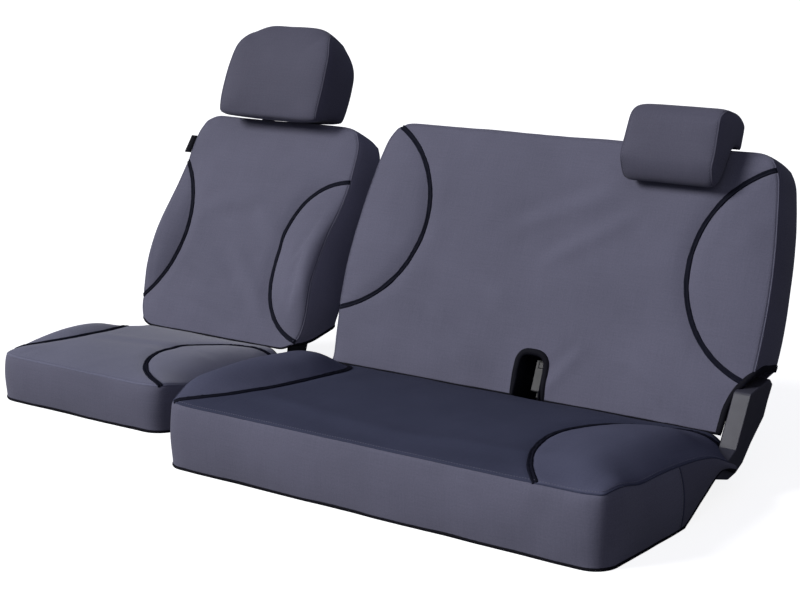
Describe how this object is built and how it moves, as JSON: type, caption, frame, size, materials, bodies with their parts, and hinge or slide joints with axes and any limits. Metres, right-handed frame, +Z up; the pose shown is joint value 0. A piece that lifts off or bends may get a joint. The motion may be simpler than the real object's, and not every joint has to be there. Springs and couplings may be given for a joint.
{
  "type": "seat cover set",
  "caption": "Fitted canvas seat covers with contrast piping on a bucket seat and a three-quarter bench, with headrest covers, hinge trims and a buckle opening.",
  "frame": {"origin": "centre of the whole set's footprint, on the floor", "axes": "+Z up, the seats face -Y, the bench is at +X and the bucket at -X"},
  "size_m": [1.593, 0.9031, 0.7738],
  "materials": {
    "canvas": "matte",
    "canvas_side": "matte",
    "piping": "matte",
    "binding": "matte",
    "webbing": "matte",
    "foam": "matte",
    "frame_steel": "satin",
    "bolt_steel": "satin",
    "shield_plastic": "matte",
    "black_plastic": "matte"
  },
  "bodies": {
    "base": {"bench_base_frame": "frame_steel", "bench_seat_pan": "frame_steel", "bench_cushion_foam": "foam", "bench_cushion_centre_panel": "canvas", "bench_cushion_corner_panels": "canvas", "bench_cushion_front_skirt": "canvas", "bench_cushion_side_left": "canvas_side", "bench_cushion_side_right": "canvas_side", "bench_cushion_piping": "piping", "bench_cushion_hem": "binding", "bench_cushion_straps": "webbing", "bench_pivot_bolts": "bolt_steel", "bench_hinge_shield": "shield_plastic", "bucket_base_frame": "frame_steel", "bucket_seat_pan": "frame_steel", "bucket_cushion_foam": "foam", "bucket_cushion_centre_panel": "canvas", "bucket_cushion_corner_panels": "canvas", "bucket_cushion_front_skirt": "canvas", "bucket_cushion_side_left": "canvas_side", "bucket_cushion_side_right": "canvas_side", "bucket_cushion_piping": "piping", "bucket_cushion_hem": "binding", "bucket_cushion_straps": "webbing", "bucket_pivot_bolts": "bolt_steel", "bucket_hinge_shields": "black_plastic"},
    "bench_back": {"bench_back_frame": "frame_steel", "bench_back_foam": "foam", "bench_back_centre_panel": "canvas", "bench_back_corner_panels": "canvas", "bench_back_gusset": "canvas_side", "bench_back_rear_panel": "canvas_side", "bench_back_piping": "piping", "bench_back_hem": "binding", "bench_buckle_binding": "binding", "bench_buckle_housing": "black_plastic", "bench_buckle_stalk": "webbing", "bench_headrest_guides": "black_plastic"},
    "bench_headrest": {"bench_headrest_posts": "bolt_steel", "bench_headrest_core": "foam", "bench_headrest_wrap": "canvas", "bench_headrest_sides": "canvas_side"},
    "buckle_button": {"bench_buckle_button": "black_plastic"},
    "bench_lock_button": {"bench_headrest_lock": "black_plastic"},
    "bucket_back": {"bucket_back_frame": "frame_steel", "bucket_back_foam": "foam", "bucket_back_centre_panel": "canvas", "bucket_back_bolsters": "canvas", "bucket_back_gusset": "canvas_side", "bucket_back_rear_panel": "canvas_side", "bucket_back_piping": "piping", "bucket_back_hem": "binding", "bucket_label_tag": "binding", "bucket_headrest_guides": "black_plastic"},
    "bucket_headrest": {"bucket_headrest_posts": "bolt_steel", "bucket_headrest_core": "foam", "bucket_headrest_wrap": "canvas", "bucket_headrest_sides": "canvas_side"},
    "bucket_lock_button": {"bucket_headrest_lock": "black_plastic"},
    "recliner_lever": {"bucket_recliner_lever": "black_plastic"}
  },
  "joints": [
    {"name": "bench_back_fold", "type": "hinge", "parent": "base", "child": "bench_back", "pos_m": [0.3215, 0.10533, 0.13062], "axis": [1, 0, 0], "range_deg": [0, 40]},
    {"name": "bench_headrest_height", "type": "slide", "parent": "bench_back", "child": "bench_headrest", "axis": [0, 0.3681, 0.9298], "range_m": [0, 0.05]},
    {"name": "buckle_press", "type": "slide", "parent": "bench_back", "child": "buckle_button", "axis": [0, 0.9298, -0.3681], "range_m": [0, 0.004], "stiffness_N_per_m": 300},
    {"name": "bench_lock_press", "type": "slide", "parent": "bench_back", "child": "bench_lock_button", "axis": [-1, 0, 0], "range_m": [0, 0.003], "stiffness_N_per_m": 300},
    {"name": "bucket_back_recline", "type": "hinge", "parent": "base", "child": "bucket_back", "pos_m": [-0.5245, 0.15973, 0.11313], "axis": [1, 0, 0], "range_deg": [-30, 20]},
    {"name": "bucket_headrest_height", "type": "slide", "parent": "bucket_back", "child": "bucket_headrest", "axis": [0, 0.4695, 0.8829], "range_m": [0, 0.06]},
    {"name": "bucket_lock_press", "type": "slide", "parent": "bucket_back", "child": "bucket_lock_button", "axis": [-1, 0, 0], "range_m": [0, 0.003], "stiffness_N_per_m": 300},
    {"name": "recliner_lever_pull", "type": "hinge", "parent": "base", "child": "recliner_lever", "pos_m": [-0.7635, 0.05, 0.044], "axis": [-1, 0, 0], "range_deg": [0, 25], "stiffness_Nm_per_rad": 1.5}
  ]
}
